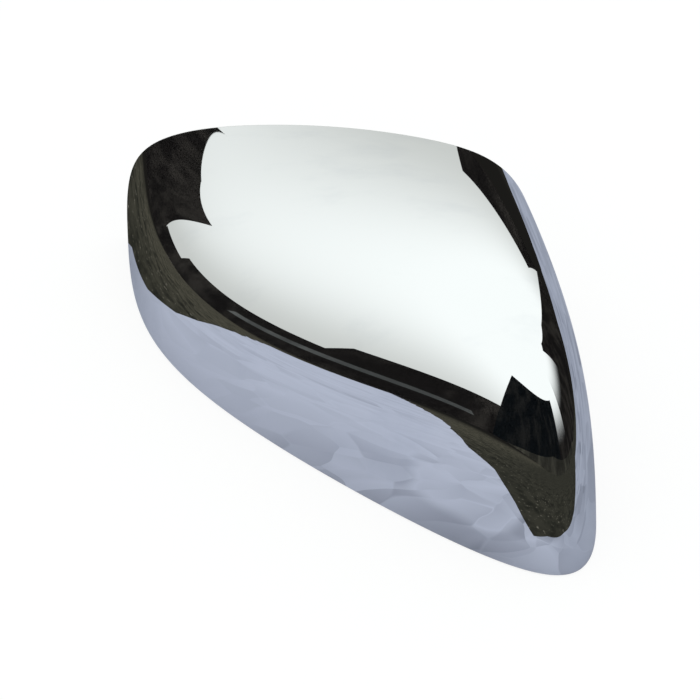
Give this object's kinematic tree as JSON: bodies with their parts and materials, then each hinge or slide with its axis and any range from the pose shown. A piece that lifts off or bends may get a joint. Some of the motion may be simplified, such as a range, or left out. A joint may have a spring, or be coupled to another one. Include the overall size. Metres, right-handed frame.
{
  "type": "wing mirror cover",
  "caption": "Double-curved chrome cover for a car door mirror: an open shell with a rounded tip, a flat rim and one open side, with snap hooks and locating pegs inside.",
  "frame": {"origin": "middle of the bounding box in plan, at the level of the rim plane the cover rests on", "axes": "+Z away from the rim plane, out of the crown; X along the open parting side, which faces +Y; the tip points to +X and -Y"},
  "size_m": [0.217, 0.168, 0.0828],
  "materials": {
    "chrome": "bright mirror chrome on a plastic moulding"
  },
  "bodies": {
    "root": {"mirror_cover": "chrome"}
  },
  "joints": []
}
